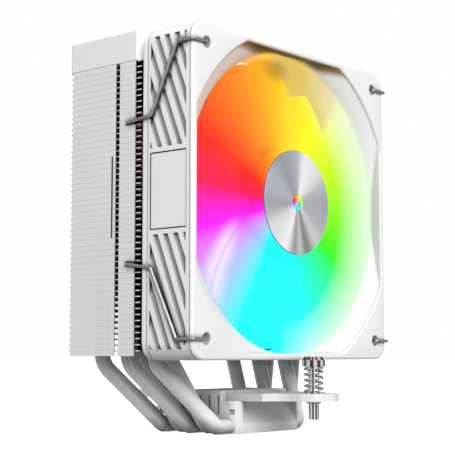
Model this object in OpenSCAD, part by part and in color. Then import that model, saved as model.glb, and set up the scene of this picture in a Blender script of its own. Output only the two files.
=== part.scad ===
// CPU tower cooler with one 120 mm lit fan, five U-shaped heat pipes and a two-screw mount.
// Origin: centre of the cold contact face. +Z is up the tower, -Y is the side the fan is on.

/* [Overall] */
// Height from the contact face to the top of the fan
cooler_h = 147.4; // [140:0.2:160]
// Gap between the two mounting screws, centre to centre
screw_spacing = 78; // [76:1:84]

/* [Fan] */
// Width and height of the square fan frame
fan_w = 120; // [118:0.5:122]
// Thickness of the fan frame
fan_t = 25; // [24:0.5:26]
// Distance from the front of the fan to the middle of the cold plate
fan_front = 32; // [30:0.5:34]
// Distance between neighbouring corner holes of the fan
fan_hole_pitch = 105; // [104:0.5:106]
// Number of fan blades
blade_count = 9; // [7:1:9]
// Outer radius of the fan blades
blade_tip_r = 56; // [54:0.5:56.2]

/* [Fins and pipes] */
// Number of fins in the stack
fin_count = 50; // [46:1:50]
// Distance from one fin to the next
fin_pitch = 2.15; // [2.1:0.05:2.15]
// Thickness of the fin sheet
fin_t = 0.4; // [0.3:0.05:0.4]
// Outer diameter of a heat pipe
pipe_d = 6; // [5.5:0.5:6]
// Distance between neighbouring pipes
pipe_pitch = 6.95; // [6.9:0.05:7.1]

/* [Base] */
// Width of the base along X
base_w = 40; // [38:1:42]
// Depth of the base along Y
base_d = 36; // [35:1:38]

/* [Hidden] */

$fn = 96;
gap = 0.02;                       // clearance between pieces that are pressed or soldered together
run_gap = 0.03;                   // radial clearance of a shaft that turns in its hole
big = 400;                        // longer than any piece

fan_z = cooler_h - fan_w / 2;     // height of the fan's axis
fan_y0 = -fan_front;              // front face of the fan
fan_y1 = fan_y0 + fan_t;          // rear face of the fan
corner_r = 6;                     // rounding of the frame's corners, seen from the front
duct_r = blade_tip_r + 1.6;       // bore that the blades turn in
duct_wall = 2.5;                  // thinnest wall beside the duct
mouth_r = 64.5;                   // radius of the flared mouth, cut off by four flats
mouth_depth = 6;                  // depth of the flare
hole_r = 2.15;                    // corner hole
hole_off = fan_hole_pitch / 2;

hub_r = 20.6;                     // front part of the hub
hub_skirt_r = 21.6;               // rear part of the hub
hub_step = 10.6;                  // depth at which the hub widens
hub_end = 20.8;                   // depth of the hub's rear edge
hub_inner_r = 19.45;
disc_r = 20.1;
disc_t = 0.8;
disc_hole_r = 3;
yoke_r = 19.4;
yoke_wall = 0.8;
magnet_r = yoke_r - yoke_wall - gap;
magnet_t = 1.35;
stator_r = 16.8;
tube_r = 5;                       // tube in the middle of the motor cup
tube_wall = 1;
sleeve_front = 8;                 // front end of the bearing sleeve
sleeve_end = 20.2;
shaft_r = 1.5;
shaft_front = 3.2;
shaft_end = 21.6;
groove_depth = sleeve_end + 0.4;  // groove near the shaft's rear end that its clip sits in
groove_w = 0.45;
groove_r = shaft_r - 0.4;
cup_front = 22.8;                 // floor of the motor cup
board_r = 16.5;
stator_front = 11;
stator_t = 6;
pad_r = 5.4;                      // rubber pads in the rear corners
pad_sink = 1.2;
lead_r = 1;
lead_floor = cup_front - 0.1;     // floor of the groove that the lead lies in
lead_lift = 0.2;                  // free height between that floor and the lead
lead_y = fan_y0 + lead_floor + lead_lift + lead_r;
lead_drop = 42;                   // how far below the axis the lead leaves the frame
lead_start = 10.5;                // distance from the axis at which the groove starts
plug_size = [5.6, 10.4, 11];
plug_drop = 3.5;                  // how far the plug hangs below the lead's exit
lead_x = fan_w / 2 + 0.4 + plug_size.x / 2;
strut_w = 4;
strut_depth = 3;

fin_x = 60;                       // outer face of the folded side tabs
fin_y0 = fan_y1 + 0.6;            // front edge of the fins
fin_y1 = fin_y0 + 37.1;           // rear edge of the fins
tab_gap = 0.05;                   // gap under each folded tab
tab_h = fin_pitch - tab_gap;      // height of a folded tab, with the sheet it hangs from
tab_front = [-3.7, 4.3];          // front and rear ends of the front tab
tab_rear = [6.3, 29.6];           // the same for the rear tab
cover_h = 11;
fin_top = cooler_h - cover_h - 0.05;
slit_y = 8;                       // narrow slit in the middle tabs
slit_w = 0.8;
slit_half_h = 14.6;

clip_r = 0.55;                    // radius of the clip wire
clip_groove_x = 57;               // where the clip's upright wire stands inside the fins
clip_groove_y = 0.3;
clip_off = 0.1;                   // air between the clip's arms and the frame
clip_bend = 0.9;                  // bends in the clip's wire
clip_travel = 4.5;                // how far the clip is pulled to free its hooks
clip_high = fin_gap_z(10);        // the wire passes through these gaps between fins
clip_low = fin_gap_z(34);

pipe_r = pipe_d / 2;
pipe_z = 2.5;                     // axis of the pipes in the base; their undersides are cut flat
pipe_base_pitch = pipe_pitch - 0.2;
pipe_mid_y = 12.8;                // middle pipe's place in the fins
pipe_far = [46, 26, 26];          // far leg: X in the fins, height of its bend, X of the bend at the base
pipe_near = [31, 28, 24];         // the same for the near leg
pipe_leg_bend = 9;
pipe_foot_bend = 4;
pipe_top = fin_top + gap;

plate_h = 7;                      // lower part of the base
shoulder_h = 12.1;                // ledges that carry the brackets
bracket_t = 2.9;
bracket_top = shoulder_h + bracket_t;
cap_top = 15.9;
cap_half_d = 10.4;
slot_w = 1.1;
slot_pitch = 4.55;
slot_top = 14;
scoop_z = 3.6;                    // lower edge of the hollows in the front and rear faces
scoop_depth = 3.6;
scoop_x = [-16, 17.5];
bracket_screw = [12, 12.5];
bracket_screw_r = 0.8;
bracket_head_r = 1.8;
screw_y = screw_spacing / 2;
screw_bottom = 5.3;
sleeve_r = 2;
head_r = 4.45;
head_z = 24.95;
head_h = 3.65;
head_step = 2.4;
thread_r = 1.65;
thread_depth = 9;
ring_t = 0.8;
ring_r = 2.8;
washer_t = 0.4;
spring_r = 3.3;                   // radius of the coil, to the middle of the wire
spring_wire_r = 0.5;
spring_turns = 4;

panel_t = 1.4;
panel_y = [-29.4, -10.9];
panel_half_h = 56.8;
rib_half_h = 56.2;
rib_inner = 15.6;
rib_y = [-28.9, -11.4];
rib_pitch = 4.85;
rib_gap = 2.05;                   // width of a gap, along the fan's depth
rib_phase = 0;                    // middle of a gap, from the fan's front face at the height of its axis
rib_slant = 22;                   // lean of the ribs from the vertical
plate_y = [-28.7, -11.5];
plate_half_h = 13.6;

function unit(v) = v / norm(v);

// Height of the gap under fin number i, counted from the top
function fin_z(i) = fin_top - fin_t - i * fin_pitch;
function fin_gap_z(i) = fin_z(i) - (fin_pitch - fin_t) / 2;

// ---- Shapes that several pieces share ----

// Turns local Z to direction d and moves the origin to p
module aim(p, d) {
    u = unit(d);
    translate(p) rotate([0, acos(u.z), atan2(u.y, u.x)]) children();
}

// One bend of a tube: corner point, direction in, direction out, bend radius, tube radius
module bend(corner, d_in, d_out, bend_r, r) {
    turn = acos(d_in * d_out);
    inward = unit(d_out - (d_out * d_in) * d_in);
    centre = corner - bend_r * tan(turn / 2) * d_in + bend_r * inward;
    ex = -inward;
    ez = cross(ex, d_in);
    multmatrix([[ex.x, d_in.x, ez.x, centre.x],
                [ex.y, d_in.y, ez.y, centre.y],
                [ex.z, d_in.z, ez.z, centre.z],
                [0, 0, 0, 1]])
        rotate_extrude(angle = turn) translate([bend_r, 0]) circle(r = r);
}

// A round bar through the points, with a bend of radius bends[i] at each inner one. Each straight
// length is thicker by swell and a little longer than its bends, so that the pieces overlap and
// join as one solid
module rod(points, r, bends, swell = 0.01) {
    overlap = 10 * swell;
    last = len(points) - 1;
    dirs = [for (i = [0:last - 1]) unit(points[i + 1] - points[i])];
    cut = [for (i = [0:last]) (i == 0 || i == last) ? 0 : bends[i] * tan(acos(dirs[i - 1] * dirs[i]) / 2)];
    for (i = [0:last - 1]) {
        span = norm(points[i + 1] - points[i]) - cut[i] - cut[i + 1];
        lead_in = i == 0 ? 0 : overlap;
        lead_out = i == last - 1 ? 0 : overlap;
        aim(points[i] + (cut[i] - lead_in) * dirs[i], dirs[i])
            cylinder(r = r + swell, h = span + lead_in + lead_out);
    }
    for (i = [1:last - 1])
        bend(points[i], dirs[i - 1], dirs[i], bends[i], r);
}

function same(value, count) = [for (i = [1:count]) value];

// Fan coordinates: local Z runs from the front face to the rear, local -Y is up
module in_fan(depth = 0) {
    translate([0, fan_y0 + depth, fan_z]) rotate([-90, 0, 0]) children();
}

module ring(r_out, r_in, h) {
    difference() {
        cylinder(r = r_out, h = h);
        translate([0, 0, -1]) cylinder(r = r_in, h = h + 2);
    }
}

module rounded_square(w, r) {
    half = w / 2 - r;
    union() {
        square([w, w - 2 * r], center = true);
        square([w - 2 * r, w], center = true);
        for (x = [-half, half], y = [-half, half])
            translate([x, y]) circle(r = r);
    }
}

module at_corners() {
    for (x = [-hole_off, hole_off], y = [-hole_off, hole_off])
        translate([x, y, 0]) children();
}

// ---- Base ----

module base_outline(d) {
    corner = 4;
    union() {
        square([base_w, d - 2 * corner], center = true);
        square([base_w - 2 * corner, d], center = true);
        for (x = [-1, 1], y = [-1, 1])
            translate([x * (base_w / 2 - corner), y * (d / 2 - corner)]) circle(r = corner);
    }
}

// Hollow round that undercuts the brackets in the front and rear faces
module scoop() {
    rise = shoulder_h - scoop_z;
    r = (scoop_depth ^ 2 + rise ^ 2) / (2 * scoop_depth);
    for (side = [-1, 1])
        translate([scoop_x[0], side * (base_d / 2 - scoop_depth + r), shoulder_h])
            rotate([0, 90, 0]) cylinder(r = r, h = scoop_x[1] - scoop_x[0]);
}

module base_block() color("gainsboro") {
    notch = [1.5, 2.2, 2];
    notch_y = base_d / 2 - 2.6;
    notch_z = 8;
    difference() {
        linear_extrude(shoulder_h) base_outline(base_d);
        translate([-base_w, -cap_half_d - gap, plate_h])
            cube([2 * base_w, 2 * (cap_half_d + gap), big]);
        for (i = [0:4]) pipe_path(i, pipe_r + gap);
        for (x = [-1, 1], y = [-1, 1])
            translate([x * base_w / 2, y * notch_y, notch_z])
                cube([2 * notch.x, notch.y, notch.z], center = true);
        bracket_screw_places() translate([0, 0, plate_h + 1]) cylinder(r = bracket_screw_r, h = big);
        scoop();
    }
}

module base_cap() color("gainsboro") {
    difference() {
        translate([-base_w / 2, -cap_half_d, plate_h + gap])
            cube([base_w, 2 * cap_half_d, cap_top - plate_h - gap]);
        for (i = [-2:2])
            translate([-base_w, i * slot_pitch - slot_w / 2, plate_h - 1])
                cube([2 * base_w, slot_w, slot_top - plate_h + 1]);
        for (i = [0:4]) pipe_path(i, pipe_r + gap);
    }
}

module bracket_screw_places() {
    for (x = [-1, 1], y = [-1, 1]) translate([x * bracket_screw.x, y * bracket_screw.y, 0]) children();
}

// Wide on the base, necked in by two rounds, and round about the screw. side is -1 in front, 1 behind
module bracket(side) {
    tip_r = 9.5;
    wide = 17;
    neck_y = screw_y - 3.5;
    neck_r = wide - tip_r;
    root_y = cap_half_d + 0.1;
    head_sink = 1.4;
    difference() {
        translate([0, 0, shoulder_h + gap]) linear_extrude(bracket_t - gap) difference() {
            union() {
                translate([-wide, side > 0 ? root_y : -neck_y]) square([2 * wide, neck_y - root_y]);
                translate([-tip_r, side > 0 ? neck_y - 1 : -screw_y])
                    square([2 * tip_r, screw_y - neck_y + 1]);
                translate([0, side * screw_y]) circle(r = tip_r);
            }
            for (x = [-1, 1]) translate([x * wide, side * neck_y]) circle(r = neck_r);
            translate([0, side * screw_y]) circle(r = sleeve_r + run_gap);
        }
        bracket_screw_places() {
            translate([0, 0, shoulder_h - 1]) cylinder(r = bracket_screw_r + 0.2, h = 10);
            translate([0, 0, bracket_top - head_sink]) cylinder(r = bracket_head_r + 0.1, h = 10);
        }
    }
}

module mounting_bracket_front() color("silver") bracket(-1);

module mounting_bracket_rear() color("silver") bracket(1);

module bracket_screws() color("silver") {
    head_t = 1.3;
    cross = [2.2, 0.5, 1.4];
    bracket_screw_places() difference() {
        union() {
            translate([0, 0, bracket_top - head_t]) cylinder(r = bracket_head_r, h = head_t);
            translate([0, 0, plate_h + 1.5])
                cylinder(r = bracket_screw_r - 0.03, h = bracket_top - plate_h - 2);
        }
        translate([0, 0, bracket_top]) for (a = [0, 90])
            rotate(a) cube(cross, center = true);
    }
}

// ---- Heat pipes ----

// Pipe i of five, front to rear; every second one is turned end for end
module pipe_path(i, r) {
    k = i - 2;
    left = (i % 2 == 0) ? pipe_far : pipe_near;
    right = (i % 2 == 0) ? pipe_near : pipe_far;
    y_fin = pipe_mid_y + k * pipe_pitch;
    y_base = k * pipe_base_pitch;
    rod([[-left[0], y_fin, pipe_top], [-left[0], y_fin, left[1]], [-left[2], y_base, pipe_z],
         [right[2], y_base, pipe_z], [right[0], y_fin, right[1]], [right[0], y_fin, pipe_top]],
        r, [0, pipe_leg_bend, pipe_foot_bend, pipe_foot_bend, pipe_leg_bend]);
}

module heat_pipe(i) color("whitesmoke") {
    difference() {
        pipe_path(i, pipe_r);
        translate([0, 0, -big / 2]) cube(big, center = true);
    }
}

module heat_pipe_1() heat_pipe(0);

module heat_pipe_2() heat_pipe(1);

module heat_pipe_3() heat_pipe(2);

module heat_pipe_4() heat_pipe(3);

module heat_pipe_5() heat_pipe(4);

module pipe_holes_2d() {
    for (i = [0:4]) {
        far = (i % 2 == 0) ? -1 : 1;
        for (x = [far * pipe_far[0], -far * pipe_near[0]])
            translate([x, pipe_mid_y + (i - 2) * pipe_pitch]) circle(r = pipe_r + gap);
    }
}

// ---- Fins ----

// A sheet with its two sides folded down. clip_slot opens the way for the clip's upright wire,
// and clip_exit cuts the tab where the wire leaves the stack
module fin(clip_slot, clip_exit, slit) {
    slot_half = clip_r + 0.3;
    difference() {
        union() {
            linear_extrude(fin_t) difference() {
                translate([-fin_x + fin_t, fin_y0]) square([2 * (fin_x - fin_t), fin_y1 - fin_y0]);
                pipe_holes_2d();
            }
            for (side = [-1, 1], tab = [tab_front, tab_rear])
                translate([side > 0 ? fin_x - fin_t : -fin_x, tab[0], fin_t - tab_h])
                    cube([fin_t, tab[1] - tab[0], tab_h]);
        }
        if (clip_slot)
            for (side = [-1, 1]) {
                translate([side * clip_groove_x, clip_groove_y, -1]) cylinder(r = slot_half, h = 2);
                translate([side * clip_groove_x - slot_half, fin_y0 - 1, -1])
                    cube([2 * slot_half, clip_groove_y - fin_y0 + 1, 2]);
            }
        if (clip_exit)
            for (side = [-1, 1])
                translate([side * fin_x - 1, tab_front[0] - 1, -tab_h])
                    cube([2, clip_groove_y + slot_half - tab_front[0] + 1, tab_h - 0.02]);
        if (slit)
            for (side = [-1, 1])
                translate([side * fin_x - fin_t - 0.01, slit_y - slit_w / 2, -tab_h])
                    cube([2 * fin_t + 0.02, slit_w, tab_h + 1]);
    }
}

module fin_stack() color("lightgray") {
    for (i = [0:fin_count - 1]) {
        z = fin_z(i);
        translate([0, 0, z])
            fin(clip_slot = z < clip_high + fin_pitch && z > clip_low - fin_pitch,
                clip_exit = abs(fin_gap_z(i) - clip_high) < 0.1 || abs(fin_gap_z(i) - clip_low) < 0.1,
                slit = abs(z - fan_z) < slit_half_h);
    }
}

module top_cover() color("white") {
    wall = 1.4;
    y0 = -4.2;
    depth = 34.8;
    post_r = 2;
    z0 = cooler_h - cover_h;
    union() {
        difference() {
            translate([-fin_x, y0, z0]) cube([2 * fin_x, depth, cover_h]);
            translate([-fin_x + wall, y0 + wall, z0 - 1])
                cube([2 * (fin_x - wall), depth - 2 * wall, cover_h - wall + 1]);
        }
        for (x = [-40, 0, 40], y = [2, 26])
            translate([x, y, z0]) cylinder(r = post_r, h = cover_h - wall + 0.2);
    }
}

// ---- Fan frame and its trim ----

module fan_frame() color("white") {
    flat = fan_w - 2 * duct_wall;
    in_fan() difference() {
        union() {
            difference() {
                linear_extrude(fan_t) rounded_square(fan_w, corner_r);
                translate([0, 0, -1]) cylinder(r = duct_r, h = fan_t + 2);
                intersection() {
                    translate([0, 0, -0.01]) cylinder(r1 = mouth_r, r2 = duct_r, h = mouth_depth);
                    cube([flat, flat, 4 * mouth_depth], center = true);
                }
            }
            translate([0, 0, cup_front]) cylinder(r = hub_skirt_r, h = fan_t - cup_front);
            for (a = [45:90:315]) rotate(a)
                translate([hub_skirt_r - 0.15, -strut_w / 2, fan_t - strut_depth])
                    cube([duct_r - hub_skirt_r + 0.65, strut_w, strut_depth]);
            translate([0, 0, sleeve_front]) cylinder(r = tube_r, h = fan_t - sleeve_front);
        }
        at_corners() translate([0, 0, -1]) cylinder(r = hole_r, h = fan_t + 2);
        at_corners() translate([0, 0, fan_t - pad_sink]) cylinder(r = pad_r + gap, h = 2 * pad_sink);
        translate([0, 0, sleeve_front - 1])
            cylinder(r = tube_r - tube_wall, h = cup_front - sleeve_front + 1);
        for (side = [-1, 1])
            translate([side * fan_w / 2, 0, (panel_y[0] + panel_y[1]) / 2 - fan_y0])
                cube([2 * (panel_t + gap), 2 * (panel_half_h + gap), panel_y[1] - panel_y[0] + 2 * gap],
                     center = true);
        lead_channel();
    }
}

// Rubber rings in the rear corners that keep the frame off the fins
module vibration_pads() color("dimgray") {
    stand_out = 0.55;
    in_fan(fan_t - pad_sink + gap) at_corners() ring(pad_r, hole_r, pad_sink - gap + stand_out);
}

// Seen from the side, with X along the cooler's depth and Y up: the slanted gaps between the ribs.
// They lean to the front as they go down
module rib_gaps_2d(z0, z1) {
    half = rib_gap / 2;
    run = (z1 - z0) * tan(rib_slant);
    middle = fan_y0 + rib_phase + z1 * tan(rib_slant);
    first = ceil((rib_y[0] - half - middle) / rib_pitch);
    last = floor((rib_y[1] + half + run - middle) / rib_pitch);
    intersection() {
        translate([rib_y[0], z0]) square([rib_y[1] - rib_y[0], z1 - z0]);
        for (i = [first:last])
            translate([middle + i * rib_pitch, z1])
                polygon([[-half, 0], [half, 0], [half - run, z0 - z1], [-half - run, z0 - z1]]);
    }
}

// Trim let into the side of the frame
module side_panel(side) color("whitesmoke") {
    x0 = side > 0 ? fan_w / 2 - panel_t : -fan_w / 2;
    intersection() {
        translate([x0, 0, fan_z]) rotate([90, 0, 90]) linear_extrude(panel_t) difference() {
            translate([panel_y[0], -panel_half_h]) square([panel_y[1] - panel_y[0], 2 * panel_half_h]);
            rib_gaps_2d(rib_inner, rib_half_h);
            rib_gaps_2d(-rib_half_h, -rib_inner);
            translate([plate_y[0] - gap, -plate_half_h - gap])
                square([plate_y[1] - plate_y[0] + 2 * gap, 2 * (plate_half_h + gap)]);
        }
        in_fan() linear_extrude(fan_t) rounded_square(fan_w, corner_r);
    }
}

module nameplate(side) color("gainsboro") {
    stand = 0.2;
    x0 = side > 0 ? fan_w / 2 - panel_t : -fan_w / 2 + stand;
    translate([x0, plate_y[0], fan_z - plate_half_h])
        cube([panel_t - stand, plate_y[1] - plate_y[0], 2 * plate_half_h]);
}

module side_panel_left() side_panel(-1);

module side_panel_right() side_panel(1);

module nameplate_left() nameplate(-1);

module nameplate_right() nameplate(1);

// ---- Motor, fixed parts ----

module bearing_sleeve() color("darkgoldenrod")
    in_fan(sleeve_front) ring(tube_r - tube_wall - gap, shaft_r + run_gap, sleeve_end - sleeve_front);

module stator_core() color("slategray") {
    arm_w = 4;
    shoe_t = 1.6;
    in_fan(stator_front) difference() {
        union() {
            ring(tube_r + 2, tube_r + gap, stator_t);
            for (a = [0:90:270]) rotate(a) {
                translate([tube_r + 1, -arm_w / 2, 0]) cube([stator_r - tube_r - 1.5, arm_w, stator_t]);
                intersection() {
                    ring(stator_r, stator_r - shoe_t, stator_t);
                    translate([0, -9, -1]) cube([big, 18, big]);
                }
            }
        }
        translate([0, 0, -1]) cylinder(r = tube_r + gap, h = big);
    }
}

module stator_coils() color("peru") {
    inner = [5.4, 4.04, 6.04];
    wind = 1.6;
    for (a = [0:90:270]) in_fan(stator_front + stator_t / 2) rotate(a) translate([11.4, 0, 0]) difference() {
        cube([inner.x, inner.y + 2 * wind, inner.z + 2 * wind], center = true);
        cube([2 * inner.x, inner.y, inner.z], center = true);
    }
}

module motor_board() color("seagreen")
    in_fan(stator_front + stator_t + 2.2) ring(board_r, tube_r + gap, 1);

module light_board() color("seagreen")
    in_fan(cup_front - 0.8) ring(hub_skirt_r - 0.2, 17.4, 0.8 - gap);

module light_chips() color("white") {
    size = [2, 2, 0.7];
    in_fan(cup_front - 0.8 - size.z / 2 - gap) for (a = [0:30:330])
        rotate(a) translate([20.1, 0, 0]) cube(size, center = true);
}

// ---- Lead ----

// The lead lies in a strut, crosses the corner of the frame and leaves through its right wall
module lead_channel() {
    slot = 2 * lead_r + 0.4;
    corner = sqrt(2) * lead_drop + slot;
    translate([0, 0, lead_floor]) {
        rotate(45) translate([lead_start, -slot / 2, 0]) cube([corner - lead_start, slot, fan_t]);
        translate([lead_drop, lead_drop - slot / 2, 0]) cube([fan_w, slot, fan_t]);
    }
}

module fan_lead() color("white") {
    exit_z = fan_z - lead_drop;
    inner = 8.5;
    outer = 11;
    rise = 1.6;
    plug_gap = 0.1;
    path = [
        [inner, lead_y - rise, fan_z - inner],
        [outer, lead_y, fan_z - outer],
        [lead_drop, lead_y, exit_z],
        [lead_x, lead_y, exit_z],
        [lead_x, lead_y, exit_z - plug_drop + plug_gap]];
    rod(path, lead_r, same(1.5, 4), swell = 0.005);
}

module lead_grommet() color("dimgray")
    translate([fan_w / 2 + gap, lead_y, fan_z - lead_drop]) rotate([0, 90, 0])
        ring(1.55, lead_r + gap, 0.5);

module lead_plug() color("white") {
    pin = 1.2;
    pin_pitch = 2.54;
    key = [1.2, 4.2, 2];
    translate([lead_x, lead_y, fan_z - lead_drop - plug_drop - plug_size.z / 2]) difference() {
        cube(plug_size, center = true);
        for (i = [-1.5:1:1.5])
            translate([0, i * pin_pitch, -plug_size.z / 2]) cube([pin, pin, plug_size.z], center = true);
        translate([plug_size.x / 2, 0, -key.z]) cube([key.x, key.y, plug_size.z], center = true);
    }
}

// ---- Rotor ----

// A cambered blade: part of a tube wall whose axis is radial, trimmed to the annulus. It is as wide
// as the root_half and tip_half say, and its leading edge is in front
module blade() {
    camber_r = 80;
    blade_t = 1.3;
    pitch = 17;
    front = 3.6;
    middle = front + 3.8;
    rear = hub_end - 0.2;
    root_half = 12.5;
    tip_half = 26;
    intersection() {
        translate([hub_r - 1, 0, middle]) rotate([pitch, 0, 0])
            translate([0, 0, camber_r]) rotate([0, 90, 0]) difference() {
                cylinder(r = camber_r, h = blade_tip_r);
                translate([0, 0, -1]) cylinder(r = camber_r - blade_t, h = blade_tip_r + 2);
            }
        translate([0, 0, front]) ring(blade_tip_r, hub_r - 0.6, rear - front);
        linear_extrude(fan_t) polygon([[hub_r - 2, -root_half], [blade_tip_r + 1, -tip_half],
                                       [blade_tip_r + 1, tip_half], [hub_r - 2, root_half]]);
    }
}

module impeller() color("white") {
    in_fan() difference() {
        union() {
            translate([0, 0, disc_t + gap]) cylinder(r = hub_r, h = hub_step);
            translate([0, 0, hub_step]) cylinder(r = hub_skirt_r, h = hub_end - hub_step);
            translate([0, 0, 0.1]) cylinder(r = disc_hole_r - gap, h = 2);
            for (i = [0:blade_count - 1]) rotate(i * 360 / blade_count) blade();
        }
        translate([0, 0, shaft_front + gap]) cylinder(r = hub_inner_r, h = big);
        translate([0, 0, -1]) cylinder(r = 1.5, h = 2);
    }
}

module hub_disc() color("silver")
    in_fan(0.05) ring(disc_r, disc_hole_r, disc_t - 0.05);

module hub_centre_cap() color("silver")
    in_fan(0.05) cylinder(r = 1.45, h = 0.9);

module rotor_yoke() color("slategray") {
    boss_r = 3.2;
    boss_end = 7.4;
    yoke_end = 19;
    in_fan() difference() {
        translate([0, 0, shaft_front + 2 * gap]) cylinder(r = yoke_r, h = yoke_end - shaft_front);
        difference() {
            translate([0, 0, shaft_front + yoke_wall]) cylinder(r = yoke_r - yoke_wall, h = big);
            cylinder(r = boss_r, h = boss_end);
        }
        cylinder(r = shaft_r + gap / 2, h = big);
    }
}

module magnet_ring() color("dimgray") {
    front = 8;
    rear = 18.5;
    in_fan(front) ring(magnet_r, magnet_r - magnet_t, rear - front);
}

module rotor_shaft() color("lightgray") {
    in_fan() difference() {
        translate([0, 0, shaft_front + 3 * gap]) cylinder(r = shaft_r, h = shaft_end - shaft_front);
        translate([0, 0, groove_depth]) ring(shaft_r + 1, groove_r, groove_w);
    }
}

module shaft_clip() color("dimgray")
    in_fan(groove_depth + gap) ring(2.6, groove_r + gap, groove_w - 2 * gap);

// ---- Clips ----

// Wire clip: an upright in the fins, and two arms that run over the frame and hook its corner holes
module fan_clip(side) color("dimgray") {
    side_x = fan_w / 2 + clip_r + clip_off;
    front_y = fan_y0 - clip_r - clip_off;
    hook_end = fan_y0 + clip_travel - clip_bend;
    elbow = [-12.5, 27.4];
    shoulder_y = -25;
    hole_z = hole_off;
    arm = function(s, exit_z) [
        [side * side_x, clip_groove_y, exit_z],
        [side * side_x, elbow[0], fan_z + s * elbow[1]],
        [side * side_x, shoulder_y, fan_z + s * hole_z],
        [side * side_x, front_y, fan_z + s * hole_z],
        [side * hole_off, front_y, fan_z + s * hole_z],
        [side * hole_off, hook_end, fan_z + s * hole_z]];
    upper = arm(1, clip_high);
    lower = arm(-1, clip_low);
    rod(concat([for (i = [5:-1:0]) upper[i]],
               [[side * clip_groove_x, clip_groove_y, clip_high],
                [side * clip_groove_x, clip_groove_y, clip_low]],
               lower),
        clip_r, same(clip_bend, 13), swell = 0.02);
}

module fan_clip_left() fan_clip(-1);

module fan_clip_right() fan_clip(1);

// ---- Captive screws ----

module at_screw(side) {
    translate([0, side * screw_y, 0]) children();
}

module captive_screw(side) color("silver") {
    groove_z = shoulder_h - ring_t - 0.05;
    at_screw(side) difference() {
        union() {
            translate([0, 0, screw_bottom]) cylinder(r = sleeve_r, h = head_z - screw_bottom + 1);
            translate([0, 0, head_z]) cylinder(r = head_r, h = head_step);
            translate([0, 0, head_z + head_step])
                cylinder(r1 = head_r, r2 = head_r - 0.9, h = head_h - head_step);
        }
        translate([0, 0, screw_bottom - 1]) cylinder(r = thread_r, h = thread_depth + 1);
        translate([0, 0, groove_z]) ring(sleeve_r + 1, sleeve_r - 0.2, ring_t + 0.05);
        translate([0, 0, head_z + head_h]) for (a = [0, 90])
            rotate(a) cube([5.4, 1.1, 3.6], center = true);
    }
}

module captive_screw_front() captive_screw(-1);

module captive_screw_rear() captive_screw(1);

module retaining_ring(side) color("dimgray")
    at_screw(side) translate([0, 0, shoulder_h - ring_t - 0.03])
        ring(ring_r, sleeve_r - 0.2 + run_gap, ring_t);

module retaining_ring_front() retaining_ring(-1);

module retaining_ring_rear() retaining_ring(1);

module spring_washer(side) color("silver")
    at_screw(side) translate([0, 0, bracket_top + gap]) ring(head_r - 0.25, sleeve_r + 0.08, washer_t);

module spring_washer_front() spring_washer(-1);

module spring_washer_rear() spring_washer(1);

// Coil spring: a round wire swept along a helix, with flattened end turns
module screw_spring(side) color("silver") {
    steps = 24;
    sides = 10;
    z0 = bracket_top + washer_t + 2 * gap + spring_wire_r;
    rise = head_z - gap - spring_wire_r - z0;
    rings = steps * (spring_turns + 1);
    dead = 0.5 / (spring_turns + 1);
    climb = function(t) min(max((t - dead) / (1 - 2 * dead), 0), 1);
    points = [for (i = [0:rings]) let (t = i / rings, a = 360 * (spring_turns + 1) * t)
              for (j = [0:sides - 1]) let (b = 360 * j / sides, r = spring_r + spring_wire_r * cos(b))
              [r * cos(a), r * sin(a), z0 + rise * climb(t) + spring_wire_r * sin(b)]];
    walls = [for (i = [0:rings - 1], j = [0:sides - 1]) let (k = (j + 1) % sides)
             [i * sides + j, i * sides + k, (i + 1) * sides + k, (i + 1) * sides + j]];
    at_screw(side) polyhedron(points,
        concat([[for (j = [sides - 1:-1:0]) j]], walls, [[for (j = [0:sides - 1]) rings * sides + j]]));
}

module screw_spring_front() screw_spring(-1);

module screw_spring_rear() screw_spring(1);

base_block();
base_cap();
mounting_bracket_front();
mounting_bracket_rear();
bracket_screws();
heat_pipe_1();
heat_pipe_2();
heat_pipe_3();
heat_pipe_4();
heat_pipe_5();
fin_stack();
top_cover();
fan_frame();
side_panel_left();
side_panel_right();
nameplate_left();
nameplate_right();
vibration_pads();
bearing_sleeve();
stator_core();
stator_coils();
motor_board();
light_board();
light_chips();
fan_lead();
lead_plug();
lead_grommet();
impeller();
hub_disc();
hub_centre_cap();
rotor_yoke();
magnet_ring();
rotor_shaft();
shaft_clip();
fan_clip_left();
fan_clip_right();
captive_screw_front();
captive_screw_rear();
screw_spring_front();
screw_spring_rear();
retaining_ring_front();
retaining_ring_rear();
spring_washer_front();
spring_washer_rear();
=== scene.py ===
"""Looks for the CPU tower cooler: trim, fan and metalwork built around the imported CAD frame."""

import colorsys
import math

import bmesh
import bpy
import numpy as np
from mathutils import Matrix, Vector


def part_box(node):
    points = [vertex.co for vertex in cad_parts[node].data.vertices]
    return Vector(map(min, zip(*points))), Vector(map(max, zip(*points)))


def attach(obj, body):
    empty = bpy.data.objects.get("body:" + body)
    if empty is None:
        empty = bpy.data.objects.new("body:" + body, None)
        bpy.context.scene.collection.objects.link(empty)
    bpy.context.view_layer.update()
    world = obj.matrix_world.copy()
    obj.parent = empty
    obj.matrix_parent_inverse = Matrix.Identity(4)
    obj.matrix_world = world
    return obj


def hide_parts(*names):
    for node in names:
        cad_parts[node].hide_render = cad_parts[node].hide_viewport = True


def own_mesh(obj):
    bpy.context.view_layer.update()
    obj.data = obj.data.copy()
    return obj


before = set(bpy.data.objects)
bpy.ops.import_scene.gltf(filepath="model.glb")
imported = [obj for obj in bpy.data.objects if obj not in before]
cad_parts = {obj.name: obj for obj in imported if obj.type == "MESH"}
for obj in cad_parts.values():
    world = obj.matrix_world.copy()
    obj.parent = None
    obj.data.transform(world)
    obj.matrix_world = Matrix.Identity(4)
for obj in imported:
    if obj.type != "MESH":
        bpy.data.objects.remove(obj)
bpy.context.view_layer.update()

MM = 0.001
ROOT = "cooler"
ROTOR = "rotor"

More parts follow.
